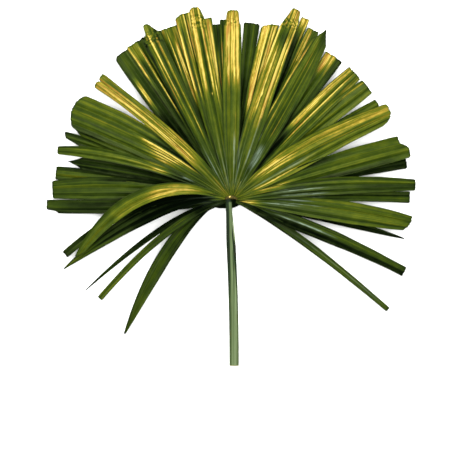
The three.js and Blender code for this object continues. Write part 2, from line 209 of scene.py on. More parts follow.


# From the lowest on the left round to the lowest on the right. root and tip are bearings in degrees
# clockwise from the crown, widths are those at the last three width stations, folds counts the pleats,
# and a higher layer lies on a lower one.
# Low tones and dark streaks below hold painted shade where segments lie under or beside others, gold streaks
# hold painted warm highlight besides the leaf's own gold, and sheen bands are painted reflections.
SEGMENTS = (
    # Left, hanging
    segment(-92, -141.2, 206, (11.8, 16.8, 2), 2, 0, POINT, 0.4,
            (-0.7, 0.25, 0.2, 0.8, -0.12), (0.1, 0.06, 0.42, 0.56, 0.12), (0, 1.2, 0, 0.2, -0.2), knee=58),
    segment(-102, -126.6, 197.5, (8.6, 8, 7), 1, 1, CUT, 0.38,
            (0.3, 0.1, 0.35, 0.48, 0.16), (0, 0.8, 0.7, 1.1, 0.04), (0, 1.2, 0, 0.3, -0.22), knee=70),
    segment(-95.5, -121.6, 207, (7, 6.4, 1), 1, 0, POINT, 0.24, knee=66),
    # Painted shade: this segment lies in the shadow of the arched one above it, so its tone is nearly black.
    segment(-75, -112.2, 218, (17.5, 18.5, 1.2), 2, 1, POINT, 0.06,
            (0, 1.2, 0.66, 1.1, 0.1), (-0.7, 0.3, 0.7, 0.95, 0.18), (0.2, 0.9, 0.86, 1.1, 0.28), knee=75),
    segment(-68, -110.2, 197, (16, 18, 6), 2, 4, SLANT_LEFT, 0.56,
            (-0.1, 0.95, 0.18, 0.46, 0.2), (-0.2, 0.3, 0.3, 0.46, 0.08), (0.05, 0.06, 0.14, 0.4, -0.1),
            (-0.35, 0.04, 0.2, 0.42, -0.08), (-0.4, 0.5, 0.42, 0.74, 0.05), (0, 1.2, 0.76, 1.1, -0.06),
            (0.95, 0.15, 0.1, 1.1, -0.15), (-0.5, 0.4, 0.72, 0.78, -0.12), knee=118),
    # Painted shade along most of this segment, which lies under the arched one above it.
    segment(-76, -108, 210, (9, 10, 9.6), 1, 2, CUT, 0.27, (0, 1.2, 0.05, 0.62, -0.3), knee=100),
    # Left, level
    segment(-95.5, -91.8, 222.5, (14, 17, 16), 2, 0, STEP_LEFT, 0.25,
            (0.2, 0.5, 0.9, 1.1, 0.12), (-0.8, 0.2, 0.6, 1.1, -0.06)),
    segment(-79, -86.6, 215.5, (18, 27, 21), 3, 1, CUT, 0.39,
            (0.2, 0.2, 0.46, 1.1, 0.1), (-0.42, 0.06, 0.5, 1, -0.08), (-0.88, 0.14, 0.4, 1.1, -0.12),
            (0.8, 0.2, 0.3, 0.75, -0.2), (0, 1.2, 0.1, 0.4, -0.14)),
    segment(-77, -81.1, 214, (10, 16, 16), 2, 0, CUT, 0.36,
            (-0.35, 0.3, 0.45, 0.95, 0.1), (0.8, 0.3, 0.3, 0.95, -0.14)),
    segment(-68.5, -76.6, 202, (11, 17, 13), 2, 1, ARROW, 0.23,
            (-0.35, 0.1, 0.4, 0.95, 0.1), (0.08, 0.08, 0.45, 0.95, 0.08), (-0.8, 0.15, 0.4, 0.9, -0.06)),
    segment(-63.5, -74, 217, (10, 14, 9.5), 2, 3, CUT, 0.45,
            (-0.5, 0.16, 0.34, 0.47, 0.46), (-0.12, 0.12, 0.34, 0.42, 0.42), (0.08, 0.1, 0.42, 0.62, 0.14),
            (-0.2, 0.7, 0.18, 0.32, -0.3), (0.8, 0.2, 0.34, 0.46, 0.34), (-0.9, 0.12, 0.3, 0.7, -0.2),
            sheen=((0.3, 0.2, 0.2, 0.24, 2.4),), knee=128),
    segment(-64, -69, 216, (9, 14, 11), 2, 0, SHARP_LEFT, 0.32, (-0.6, 0.3, 0.7, 1.1, -0.06)),
    segment(-58.5, -65.3, 206, (16, 17, 12), 3, 2, ROUND_LEFT, 0.47,
            (0.92, 0.14, 0.24, 0.58, 0.5), (0.55, 0.12, 0.34, 0.56, 0.5), (0.2, 0.12, 0.35, 0.54, 0.48),
            (-0.12, 0.1, 0.38, 0.5, 0.42), (-0.85, 0.14, 0.36, 0.54, 0.4), (-0.2, 0.1, 0.84, 0.97, 0.12),
            (-0.5, 0.16, 0.84, 0.98, -0.28), (0.15, 0.2, 0.85, 1, -0.26)),
    segment(-50, -60.4, 220, (26, 39, 42), 4, 3, ROUND_LEFT, 0.43,
            (0.12, 0.07, 0.24, 0.62, 0.54), (-0.06, 0.08, 0.32, 0.56, 0.5), (-0.25, 0.06, 0.36, 0.56, 0.46),
            (-0.43, 0.07, 0.38, 0.55, 0.44), (-0.62, 0.08, 0.38, 0.52, 0.42), (0.02, 0.035, 0.5, 0.96, 0.14),
            (0.3, 0.04, 0.52, 0.97, 0.16), (0.62, 0.05, 0.55, 0.97, 0.1), (0.95, 0.05, 0.52, 0.95, 0.22),
            (0, 0.5, 0.3, 0.6, 0.06), (0.03, 0.022, 0.3, 0.6, -0.34), (-0.15, 0.022, 0.34, 0.58, -0.34),
            (-0.34, 0.022, 0.36, 0.56, -0.3), (-0.53, 0.022, 0.36, 0.54, -0.3),
            (0.2, 0.022, 0.26, 0.6, -0.26), (0.36, 0.1, 0.2, 0.6, -0.3), (0.7, 0.28, 0.2, 0.52, -0.2),
            (-0.85, 0.16, 0.8, 1.1, -0.1)),
    segment(-40.5, -48.1, 215, (15.5, 16.5, 20), 3, 4, NOTCHED, 0.49,
            (0, 0.95, 0.3, 0.58, 0.27), (-0.45, 0.12, 0.4, 0.98, 0.1), (0.06, 0.1, 0.3, 0.98, 0.1),
            (0, 1.1, 0.58, 1.1, 0.18), (-0.18, 0.04, 0.33, 0.95, -0.22), (0.42, 0.04, 0.33, 0.95, -0.22),
            (0.18, 0.03, 0.3, 0.7, -0.14), (-0.62, 0.04, 0.33, 0.8, -0.2), (0.68, 0.04, 0.33, 0.95, -0.2),
            (-0.98, 0.08, 0.2, 0.6, -0.3)),
    # Crown, left
    segment(-40, -36.7, 221, (15, 21.5, 22.5), 2, 0, SLIGHT_LEFT, 0.29,
            (-0.48, 0.2, 0.68, 0.84, 0.5), (0.78, 0.12, 0.72, 1.1, 0.42), (-0.92, 0.12, 0.6, 1.1, -0.12),
            (0, 0.3, 0.4, 0.82, -0.12), (0.45, 0.1, 0.6, 1, 0.06), (0, 0.6, 0.9, 1.1, 0.08),
            (-0.6, 0.6, 0.2, 0.6, -0.2)),
    segment(-32, -31.6, 222, (11, 17.5, 24), 2, 1, CUT, 0.34,
            (-0.85, 0.16, 0.78, 1.1, 0.42), (-0.3, 0.3, 0.9, 1.1, 0.34), (0.12, 0.09, 0.55, 0.98, 0.4),
            (0.55, 0.07, 0.4, 0.92, 0.26), (-0.2, 0.12, 0.5, 0.9, -0.14), (0.34, 0.08, 0.6, 0.96, -0.18)),
    segment(-26.5, -26.3, 235, (15, 20.5, 24), 3, 3, TONGUE_RIGHT, 0.46,
            (0.45, 0.07, 0.38, 0.9, 0.4), (-0.2, 0.06, 0.42, 0.92, 0.42), (-0.2, 0.14, 0.78, 0.93, 0.3),
            (-0.56, 0.05, 0.5, 0.85, 0.22), (0.12, 0.08, 0.5, 0.9, -0.12), (-0.92, 0.16, 0.3, 1.1, -0.2),
            (0.85, 0.12, 0.3, 0.95, -0.14), (0, 0.3, 0.95, 1.1, 0.2), (0.5, 0.2, 0.9, 0.97, -0.16),
            sheen=((-0.5, 0.12, 0.1, 0.26, 0.6),), crimp=(0.89, 0.965)),
    segment(-21.5, -20.6, 221, (13, 19.5, 25), 3, 0, CUT, 0.38,
            (0.3, 0.22, 0.56, 0.92, 0.48), (-0.2, 0.06, 0.75, 0.98, 0.34), (-0.5, 0.15, 0.6, 0.95, -0.18),
            (0.8, 0.1, 0.6, 0.95, 0.32), (-0.5, 0.14, 0.93, 1.1, 0.3), (0.1, 0.12, 0.93, 1.1, 0.3),
            (0.6, 0.2, 0.92, 1.1, 0.3), (-0.85, 0.1, 0.4, 0.8, 0.24)),
    segment(-17, -15, 231, (12, 16, 19.5), 2, 2, SOFT_LEFT, 0.47,
            (-0.85, 0.16, 0.6, 0.92, 0.42), (-0.12, 0.1, 0.56, 0.9, 0.42), (0.1, 0.09, 0.76, 1.1, 0.4),
            (0.65, 0.26, 0.6, 1.1, 0.34), (-0.5, 0.12, 0.55, 0.93, -0.14), (0.3, 0.07, 0.6, 0.97, -0.18),
            (-0.5, 0.5, 0.93, 1.1, 0.2)),
    segment(-11.5, -10.8, 235, (16, 19, 15.5), 3, 3, DOME, 0.47,
            (-0.6, 0.3, 0.58, 1.1, 0.36), (0.45, 0.12, 0.58, 1.1, 0.3), (0.86, 0.12, 0.52, 0.92, 0.38),
            (0.1, 0.1, 0.55, 0.9, -0.1), (-0.97, 0.06, 0.5, 0.92, -0.16), (0.15, 0.05, 0.56, 0.575, 0.6),
            (0.1, 0.3, 0.9, 1.1, 0.22),
            crimp=(0.895, 0.965)),
    segment(-7, -7.8, 220, (9, 10.5, 11.5), 1, 2, CUT, 0.45,
            (-0.1, 0.4, 0.58, 1.1, 0.36), (0.5, 0.2, 0.64, 0.98, 0.34), (0.2, 0.06, 0.6, 0.95, -0.25),
            (0.9, 0.14, 0.3, 0.75, -0.2)),
    segment(-5.5, -4.8, 212, (8, 9.5, 11), 1, 0, CUT, 0.26,
            (0.6, 0.1, 0.66, 0.98, 0.4), (-0.4, 0.5, 0.6, 0.85, 0.42)),
    segment(-3, -2.7, 217, (8, 9, 9), 1, 1, CUT, 0.4,
            (-0.75, 0.1, 0.64, 0.9, 0.42), (0.3, 0.4, 0.6, 0.86, 0.28), (-0.4, 0.2, 0.86, 1.1, -0.14)),
    segment(-0.5, 0.2, 227, (19, 22.5, 18.5), 3, 4, NECK, 0.47,
            (-0.55, 0.3, 0.64, 0.94, 0.42), (0.32, 0.5, 0.64, 0.94, 0.45), (-0.14, 0.05, 0.55, 0.92, -0.18),
            (0.55, 0.04, 0.6, 0.92, -0.12),
            (0.05, 0.9, 0.92, 1.1, 0.24), (0.97, 0.1, 0.2, 0.7, -0.3), (-0.97, 0.06, 0.3, 0.9, -0.12),
            (-0.9, 0.03, 0.5, 0.96, 0.14), sheen=((0.35, 0.14, 0.2, 0.33, 0.8),), crimp=(0.925, 0.955)),
    # Crown, right
    segment(6, 6.4, 214, (9, 14, 19.5), 2, 0, CUT, 0.33,
            (0, 0.9, 0.3, 0.72, -0.12), (0.2, 0.4, 0.75, 0.9, 0.06),
            sheen=((-0.6, 0.4, 0.2, 0.34, 0.4),)),
    segment(8.5, 12.4, 217, (11, 16, 21.5), 2, 2, SLANT_LEFT, 0.43,
            (-0.42, 0.42, 0.52, 1, 0.48), (0.5, 0.34, 0.72, 1, 0.48), (0.3, 0.08, 0.45, 0.78, 0.26),
            (0.07, 0.06, 0.6, 0.95, -0.24), (-0.82, 0.3, 0.16, 0.62, -0.24), (0, 0.9, 0.955, 1.1, 0.12),
            (0.9, 0.1, 0.5, 0.93, -0.14)),
    segment(14.5, 18.4, 241, (22, 22, 20), 3, 4, TONGUE, 0.47,
            (-0.1, 0.9, 0.46, 0.82, 0.14), (-0.4, 0.18, 0.44, 0.8, 0.34), (0, 0.08, 0.4, 0.78, 0.2),
            (0.45, 0.16, 0.4, 0.9, 0.34),
            (0.8, 0.1, 0.5, 0.95, 0.34), (-0.92, 0.1, 0.7, 0.92, 0.36), (-0.1, 0.5, 0.82, 0.88, -0.16),
            (0.1, 0.7, 0.92, 1.1, 0.34), (-0.97, 0.12, 0.16, 0.5, -0.25), (0.2, 0.06, 0.5, 0.9, -0.18),
            (-0.2, 0.07, 0.555, 0.575, 0.6),
            sheen=((0.45, 0.06, 0.2, 0.42, 1), (-0.6, 0.3, 0.1, 0.24, 0.5)), crimp=(0.9, 0.95)),
    segment(22.5, 22, 235.5, (8, 9, 10), 1, 0, CUT, 0.22,
            (0, 1.2, 0.925, 1.1, 0.62), (0.1, 0.4, 0.5, 0.9, -0.12), (0.5, 0.2, 0.8, 0.94, 0.3)),
    segment(24.5, 25.5, 226.5, (9, 13, 15), 1, 1, CUT, 0.41,
            (-0.2, 0.18, 0.5, 0.98, 0.42), (-0.55, 0.26, 0.8, 1.1, 0.32), (0.2, 0.07, 0.4, 0.82, 0.2),
            (-0.88, 0.14, 0.2, 0.76, -0.2), (-0.4, 0.05, 0.6, 0.95, -0.2),
            sheen=((-0.6, 0.4, 0.26, 0.42, 0.5),)),
    segment(29, 28.9, 234, (22, 26, 14.5), 3, 3, ARROW, 0.42,
            (-0.84, 0.09, 0.48, 0.9, 0.4), (-0.45, 0.04, 0.38, 0.9, 0.24), (-0.05, 0.04, 0.4, 0.88, 0.22),
            (0.3, 0.04, 0.38, 0.88, 0.26), (0.62, 0.04, 0.4, 0.8, 0.16), (0.94, 0.12, 0.15, 0.6, -0.3),
            (-0.97, 0.06, 0.2, 0.5, -0.2), (-0.2, 0.4, 0.87, 0.95, 0.12), (0.4, 0.5, 0.9, 1.1, -0.14),
            sheen=((0.05, 0.35, 0.21, 0.3, 1.3), (-0.7, 0.1, 0.2, 0.4, 0.5))),
    segment(36.5, 35.4, 211.5, (12, 18, 24), 2, 1, CUT, 0.33,
            (-0.35, 0.6, 0.9, 1.1, 0.52), (0.3, 0.6, 0.15, 0.6, -0.18), (-0.3, 0.4, 0.6, 0.88, 0.08),
            (0.92, 0.12, 0.6, 1.1, -0.16), (-0.1, 0.06, 0.85, 1, -0.2),
            sheen=((-0.5, 0.4, 0.2, 0.38, 0.6),)),
    # Right, rising
    segment(40, 43.9, 212, (17, 24, 20), 3, 2, CUT, 0.47,
            (-0.66, 0.26, 0.54, 1.02, 0.38), (0.02, 0.06, 0.42, 0.97, 0.34), (-0.3, 0.05, 0.48, 0.9, 0.14),
            (-0.6, 0.5, 0.14, 0.5, -0.3), (0.35, 0.05, 0.5, 0.95, -0.14), (0.7, 0.06, 0.4, 0.95, 0.14),
            (0.86, 0.06, 0.5, 0.9, -0.18), (-0.97, 0.06, 0.5, 1, -0.18)),
    segment(46, 49.9, 212, (13, 21, 20), 2, 1, CUT, 0.51,
            (-0.62, 0.09, 0.5, 1.1, 0.16), (0.02, 0.09, 0.6, 1.1, 0.1), (0.3, 0.06, 0.6, 1.1, -0.14),
            (0.75, 0.15, 0.6, 1.1, 0.08), (-0.25, 0.06, 0.5, 1, -0.12)),
    segment(53, 56.6, 210, (10, 15, 13.5), 2, 0, CUT, 0.42),
    segment(52.5, 60.9, 217, (29, 30, 23), 4, 3, ROUND_RIGHT, 0.64,
            (-0.62, 0.14, 0.2, 0.36, 0.34), (-0.25, 0.14, 0.2, 0.42, 0.34), (0.7, 0.06, 0.13, 0.38, 0.42),
            (-0.5, 0.45, 0.3, 1.1, 0.1), (-0.2, 0.1, 0.5, 1, 0.04), (0.02, 0.035, 0.3, 0.95, -0.18),
            (-0.42, 0.035, 0.25, 0.95, -0.16), (0.25, 0.035, 0.3, 0.9, -0.16), (0.58, 0.05, 0.2, 1.1, -0.26),
            (-0.78, 0.03, 0.3, 0.95, -0.1), (0.8, 0.2, 0.5, 1.1, -0.14),
            (-0.98, 0.05, 0.2, 0.9, -0.18), sheen=((0.38, 0.12, 0.14, 0.5, 0.5),)),
    # Painted shadow of the segment above along its upper side, and painted shade along its lower side.
    segment(69, 72.8, 221, (21, 29, 28), 3, 2, STEP_RIGHT, 0.49,
            (0.15, 0.14, 0.13, 0.36, 0.36), (-0.7, 0.4, 0.2, 0.6, -0.2), (0.82, 0.15, 0.45, 0.92, -0.24),
            (0, 0.25, 0.5, 0.95, 0.05), (0.45, 0.04, 0.3, 0.9, -0.12), (-0.4, 0.04, 0.5, 1, -0.08)),
    segment(75, 77.8, 214, (9, 12, 14), 2, 0, CUT, 0.2),
    # Right, level and hanging
    segment(77.5, 85.2, 220, (18, 20, 13.5), 3, 3, CUT, 0.39,
            (-0.75, 0.2, 0.12, 0.3, 0.4), (-0.35, 0.12, 0.14, 0.28, 0.32), (0.45, 0.07, 0.1, 0.6, -0.2),
            (-0.3, 0.3, 0.5, 0.9, 0.05), (0.2, 0.4, 0.7, 1.1, -0.06),
            sheen=((0.15, 0.12, 0.26, 0.5, 0.8), (-0.2, 0.08, 0.24, 0.4, 0.6), (0.7, 0.1, 0.3, 0.5, 0.8))),
    segment(86, 89, 213, (10, 12, 14), 2, 1, CUT, 0.31,
            (-0.5, 0.14, 0.15, 0.65, -0.22), (0.25, 0.4, 0.75, 1.1, 0.08),
            sheen=((0, 0.25, 0.22, 0.5, 0.6),)),
    segment(93, 97.4, 216, (20, 26, 18), 3, 2, SLANT_RIGHT, 0.48,
            (0.2, 0.7, 0.02, 0.13, 0.38), (-0.8, 0.3, 0.15, 0.4, -0.2), (0, 0.5, 0.38, 0.95, 0.06),
            (-0.35, 0.04, 0.3, 0.9, -0.1), (0.68, 0.05, 0.3, 0.95, -0.12),
            sheen=((0.05, 0.08, 0.2, 0.36, 1.5), (0.3, 0.05, 0.22, 0.3, 1.3), (-0.6, 0.06, 0.28, 0.42, 1),
                   (-0.2, 0.05, 0.26, 0.5, 0.9))),
    segment(98, 102.5, 212, (9.5, 9.5, 1.4), 1, 0, POINT, 0.2),
    segment(108, 112.5, 223.5, (17.3, 15, 12), 2, 1, CUT, 0.3,
            (-0.5, 0.5, 0.02, 0.11, 0.44), (-0.55, 0.35, 0.1, 1, 0.12), (0.5, 0.4, 0.12, 1.1, -0.12),
            sheen=((-0.16, 0.1, 0.26, 0.52, 1), (-0.6, 0.1, 0.1, 0.3, 0.5)), knee=120),
    segment(108, 125, 228.5, (9.6, 8.8, 6), 1, 0, CUT, 0.47,
            (0, 1.2, 0.02, 0.34, -0.22), (0.85, 0.14, 0.3, 1.1, -0.16), (-0.6, 0.2, 0.4, 0.9, -0.08),
            sheen=((-0.1, 0.3, 0.35, 0.95, 0.2),), knee=58),
)

STALK_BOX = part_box("petiole")
HASTULA_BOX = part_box("hastula")
HUB = np.array([
    (HASTULA_BOX[0][0] + HASTULA_BOX[1][0]) / 2 - HASTULA_PLACE[0] * MM,
    STALK_BOX[0][1] + STALK_LENGTH * MM,
    0,
])


def smoothstep(value, low, high):
    """0 below low, 1 above high, and 3t^2 - 2t^3 of the share t between them."""
    share = np.clip((value - low) / (high - low), 0, 1)
    return share * share * (3 - 2 * share)


def bell(value, middle, half):
    """A flat-topped band of 1 round middle, faded over its outer half."""
    return 1 - smoothstep(np.abs(value - middle), 0.6 * half, 1.4 * half)


def bands(rows, share, across):
    """The sum of bands along a segment, each a bell across it times a smooth start and a smooth end."""
    added = 0 * share + 0 * across
    for middle, half, first, last, strength in rows:
        fade = min(STREAK_FADE, (last - first) / 2)
        begun = smoothstep(share, first - fade, first + fade)
        ended = smoothstep(share, last - fade, last + fade)
        added = added + strength * bell(across, middle, half) * begun * (1 - ended)
    return added


def from_hub(bearing, distance):
    """A place in plan at a bearing clockwise from +Y."""
    turn = math.radians(bearing)
    return np.array([math.sin(turn), math.cos(turn)]) * distance


def grid_faces(rows, columns, closed=False):
    """Quads over a grid of rows by columns, wound to face along the cross product of the column and
    row directions. closed joins the last column to the first."""
    columns_run = np.arange(columns if closed else columns - 1)
    first = (np.arange(rows - 1)[:, None] * columns + columns_run).ravel()
    beside = (np.arange(rows - 1)[:, None] * columns + (columns_run + 1) % columns).ravel()
    return np.stack([first, beside, beside + columns, first + columns], axis=1)


def sheet_faces(rows, columns):
    """Quads of a closed sheet: a top grid, the same grid below it turned over, and a rim round both."""
    top = grid_faces(rows, columns)
    under = rows * columns
    grid = np.arange(under).reshape(rows, columns)
    rim = np.concatenate([grid[0], grid[1:, -1], grid[-1, -2::-1], grid[-2:0:-1, 0]])
    ahead = np.roll(rim, -1)
    wall = np.stack([rim, rim + under, ahead + under, ahead], axis=1)
    return np.concatenate([top, top[:, ::-1] + under, wall])


def make_mesh(name, points, faces, uv=None, layers=None):
    """A finished object from points in millimetres round the hub, with its place in its mesh. uv is a
    pair for each point, and layers are named numbers for each point."""
    mesh = bpy.data.meshes.new(name)
    places = np.asarray(points, float).reshape(-1, 3) * MM + HUB
    mesh.from_pydata(places.tolist(), [], [list(face) for face in faces])
    mesh.polygons.foreach_set("use_smooth", np.ones(len(mesh.polygons), dtype=bool))
    if uv is not None:
        corners = np.empty(len(mesh.loops), dtype=np.int32)
        mesh.loops.foreach_get("vertex_index", corners)
        mesh.uv_layers.new(name="along").data.foreach_set("uv", uv.reshape(-1, 2)[corners].ravel())
    for layer, values in (layers or {}).items():
        numbers = mesh.attributes.new(layer, "FLOAT", "POINT")
        numbers.data.foreach_set("value", np.asarray(values, dtype=np.float32).ravel())
    mesh.set_sharp_from_angle(angle=SHARP_ANGLE)
    mesh.update()
    piece = bpy.data.objects.new(name, mesh)
    bpy.context.scene.collection.objects.link(piece)
    return piece


def finish_piece(piece, node, material):
    """Gives a piece its finish and the body it rides on, and hides the imported part of the node it stands
    for.
    """
    piece.data.materials.append(material)
    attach(piece, "root")
    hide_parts(node)


# Node materials


def add_node(tree, kind, inputs=None, **settings):
    """A shader node with its settings, and its inputs linked to sockets or set to values."""
    made = tree.nodes.new("ShaderNode" + kind)
    for key, value in settings.items():
        setattr(made, key, value)
    for key, value in (inputs or {}).items():
        if isinstance(value, bpy.types.NodeSocket):
            tree.links.new(value, made.inputs[key])
        else:
            made.inputs[key].default_value = value
    return made


def calculate(tree, operation, first, second=0.0):
    """A math node of two numbers."""
    return add_node(tree, "Math", {0: first, 1: second}, operation=operation).outputs[0]


def remap(tree, value, low, high, to_low=0.0, to_high=1.0):
    """value brought from the range low to high smoothly to the range to_low to to_high."""
    inputs = {0: value, 1: low, 2: high, 3: to_low, 4: to_high}
    return add_node(tree, "MapRange", inputs, interpolation_type="SMOOTHSTEP").outputs[0]


def mix_colours(tree, share, first, second):
    """Two colours mixed by a share."""
    return add_node(tree, "Mix", {0: share, 6: first, 7: second}, data_type="RGBA").outputs[2]


def colour_ramp(tree, share, stops):
    """A colour ramp of (place, colour) stops."""
    made = add_node(tree, "ValToRGB", {0: share})
    elements = made.color_ramp.elements
    while len(elements) < len(stops):
        elements.new(0.5)
    for element, (place, colour) in zip(elements, stops):
        element.position = place
        element.color = (*colour, 1)
    return made.outputs[0]


def streak_noise(tree, along, across, detail=3.0):
    """Noise drawn out along the leaf: along and across are its cycles a metre."""
    place = add_node(tree, "UVMap", uv_map="along").outputs[0]
    scaled = add_node(tree, "Mapping", {"Vector": place, "Scale": (along, across, 1)}).outputs[0]
    inputs = {"Vector": scaled, "Scale": 1.0, "Detail": detail, "Roughness": 0.6}
    return add_node(tree, "TexNoise", inputs, noise_dimensions="2D").outputs[0]


def attribute(tree, name):
    """A number that the mesh carries at each point."""
    return add_node(tree, "Attribute", attribute_name=name).outputs["Fac"]


def total(tree, first, *others):
    """The sum of numbers."""
    for other in others:
        first = calculate(tree, "ADD", first, other)
    return first


def new_material(name):
    """An empty node material and its tree."""
    material = bpy.data.materials.new(name)
    material.use_nodes = True
    material.node_tree.nodes.clear()
    return material, material.node_tree


def close_material(tree, surface):
    """Links a surface shader to the material's output."""
    add_node(tree, "OutputMaterial", {"Surface": surface.outputs[0]})


def blade_finish():
    """Waxy leaf. The mesh gives each point a tone, which holds painted shade and highlights as well as the
    leaf's own colour; noise drawn out along the blade makes it streaky at several widths, with dark lines
    where it is gold, puckers add patches of painted light and shade, and a ramp turns it to nearly black,
    green, olive, gold or pale gold. Over that lie rusty flecks in the gold, a pale broken painted sheen
    where the mesh says so, and a duller underside."""
    material, tree = new_material("waxy_leaf")
    strand = streak_noise(tree, 4, 430, 2.0)
    fine = streak_noise(tree, 14, 1300)
    broad = streak_noise(tree, 6, 140, 2.0)
    mottle = streak_noise(tree, 70, 110, 4.0)
    # The puckers' noise raises the bump and also paints patches of light and shade on the puckers.
    pucker_relief_and_shade = remap(tree, streak_noise(tree, 330, 240, 1.0), 0.35, 0.65, -0.16, 0.16)
    gilt = remap(tree, attribute(tree, "tone"), 0.5, 0.85)
    lines = remap(tree, streak_noise(tree, 9, 430, 2.0), 0.42, 0.6, 0.12, -0.18)
    grain = remap(tree, streak_noise(tree, 150, 500, 1.0), 0.35, 0.65, -0.04, 0.04)
    threads = calculate(tree, "MULTIPLY", gilt, calculate(tree, "ADD", lines, grain))
    tone = total(
        tree,
        attribute(tree, "tone"),
        threads,
        remap(tree, strand, 0.3, 0.7, -0.06, 0.06),
        remap(tree, fine, 0.25, 0.75, -0.07, 0.07),
        remap(tree, broad, 0.3, 0.7, -0.05, 0.05),
        remap(tree, mottle, 0.3, 0.7, -0.04, 0.04),
        calculate(tree, "MULTIPLY", attribute(tree, "crimp"), pucker_relief_and_shade),
    )
    colour = colour_ramp(tree, tone, (
        (0.0, (0.0008, 0.0018, 0.0006)),
        (0.15, (0.003, 0.0068, 0.001)),
        (0.3, (0.0085, 0.018, 0.0016)),
        (0.45, (0.022, 0.038, 0.002)),
        (0.58, (0.05, 0.066, 0.003)),
        (0.68, (0.088, 0.095, 0.005)),
        (0.76, (0.15, 0.122, 0.01)),
        (0.86, (0.29, 0.205, 0.022)),
        (0.96, (0.46, 0.36, 0.075)),
    ))
    rust = remap(tree, streak_noise(tree, 18, 380), 0.52, 0.68)
    rust = calculate(tree, "MULTIPLY", rust, remap(tree, tone, 0.54, 0.72))
    rust = calculate(tree, "MULTIPLY", rust, attribute(tree, "rust"))
    colour = mix_colours(tree, rust, colour, (0.24, 0.095, 0.018, 1))
    # Painted sheen: a pale reflection mixed into the colour where the mesh's sheen number says so, broken up
    # by glints.
    painted_sheen = calculate(tree, "MULTIPLY", attribute(tree, "sheen"), remap(tree, strand, 0.35, 0.6))
    glints = remap(tree, streak_noise(tree, 60, 260, 2.0), 0.42, 0.6, 0.45, 1.15)
    painted_sheen = calculate(tree, "MULTIPLY", painted_sheen, glints)
    colour = mix_colours(tree, calculate(tree, "MULTIPLY", painted_sheen, 0.8), colour, (0.15, 0.2, 0.145, 1))
    under = attribute(tree, "under")
    colour = mix_colours(tree, calculate(tree, "MULTIPLY", under, 0.5), colour, (0.07, 0.11, 0.03, 1))
    roughness = total(tree, remap(tree, fine, 0.2, 0.8, 0.36, 0.5), calculate(tree, "MULTIPLY", under, 0.2))
    height = total(tree, fine, strand, calculate(tree, "MULTIPLY", attribute(tree, "crimp"), pucker_relief_and_shade))
    bump = add_node(tree, "Bump", {"Height": height, "Strength": 0.4, "Distance": 0.0005}).outputs[0]
    gleam = remap(tree, tone, 0.0, 0.3, 0.0, 0.1)
    surface = add_node(tree, "BsdfPrincipled", {
        "Base Color": colour, "Roughness": roughness, "Normal": bump, "Specular IOR Level": gleam,
        "Specular Tint": (0.95, 1, 0.45, 1),
    })
    close_material(tree, surface)
    return material


def stalk_finish():
    """Smooth pale green stalk with fine grooves, its tone given by the mesh, with a dry cut end."""
    material, tree = new_material("green_stalk")
    fine = streak_noise(tree, 9, 1300)
    broad = streak_noise(tree, 5, 300, 2.0)
    tone = total(
        tree,
        attribute(tree, "tone"),
        remap(tree, fine, 0.25, 0.75, -0.12, 0.12),
        remap(tree, broad, 0.25, 0.75, -0.1, 0.1),
    )
    colour = colour_ramp(tree, tone, (
        (0.0, (0.004, 0.009, 0.003)),
        (0.25, (0.012, 0.024, 0.007)),
        (0.55, (0.046, 0.07, 0.024)),
        (0.8, (0.1, 0.135, 0.06)),
        (1.0, (0.17, 0.21, 0.12)),
    ))
    flecks = remap(tree, streak_noise(tree, 60, 500, 3.0), 0.62, 0.75)
    colour = mix_colours(tree, calculate(tree, "MULTIPLY", flecks, 0.4), colour, (0.07, 0.06, 0.02, 1))
    colour = mix_colours(tree, attribute(tree, "cut"), colour, (0.3, 0.26, 0.12, 1))
    bump = add_node(tree, "Bump", {"Height": fine, "Strength": 0.4, "Distance": 0.0003}).outputs[0]
    surface = add_node(tree, "BsdfPrincipled", {
        "Base Color": colour, "Roughness": remap(tree, fine, 0.2, 0.8, 0.4, 0.52), "Normal": bump,
        "Specular IOR Level": 0.06,
    })
    close_material(tree, surface)
    return material


def hastula_finish():
    """Dry brown tissue with darker flecks, and one pale golden painted highlight where the mesh says so."""
    material, tree = new_material("dry_crest")
    place = add_node(tree, "TexCoord").outputs["Object"]
    spots = add_node(tree, "TexNoise", {"Vector": place, "Scale": 900.0, "Detail": 4.0}).outputs[0]
    share = total(tree, attribute(tree, "crest"), remap(tree, spots, 0.3, 0.7, -0.3, 0.3))
    colour = colour_ramp(tree, share, (
        (0.0, (0.012, 0.01, 0.003)),
        (0.4, (0.036, 0.03, 0.005)),
        (0.75, (0.12, 0.085, 0.012)),
        (1.0, (0.6, 0.45, 0.12)),
    ))
    bump = add_node(tree, "Bump", {"Height": spots, "Strength": 0.6, "Distance": 0.0004}).outputs[0]
    surface = add_node(tree, "BsdfPrincipled", {
        "Base Color": colour, "Roughness": 0.6, "Normal": bump, "Specular IOR Level": 0.1,
    })
    close_material(tree, surface)
    return material


def floor_finish():
    """Plain off-white floor."""
    material, tree = new_material("pale_floor")
    surface = add_node(tree, "BsdfPrincipled", {
        "Base Color": (0.92, 0.92, 0.91, 1), "Roughness": 0.9, "Specular IOR Level": 0.2,
    })
    close_material(tree, surface)
    return material


# Blade segments


def width_at(row, share):
    """The cubic through four widths: the root's at the hub, then the segment's three."""
    widths = (ROOT_WIDTH, *row.widths)
    value = 0
    for i, width in enumerate(widths):
        weight = 1
        for j, station in enumerate(WIDTH_STATIONS):
            if j != i:
                weight = weight * (share - station) / (WIDTH_STATIONS[i] - station)
        value = value + width * weight
    return value


def height_at(row, share):
    """A low arch from hub to tip, (1-s)^2 hub + 2s(1-s) arch + s^2 tip, raised by the row's layer."""
    rest = 1 - share
    arch = rest * rest * HUB_HEIGHT + 2 * share * rest * ARCH_HEIGHT + share * share * TIP_HEIGHT
    lift = smoothstep(share, LAYER_START, LAYER_FULL) * (1 - LAYER_DROOP * share * share)
    return arch + row.layer * LAYER_STEP * lift


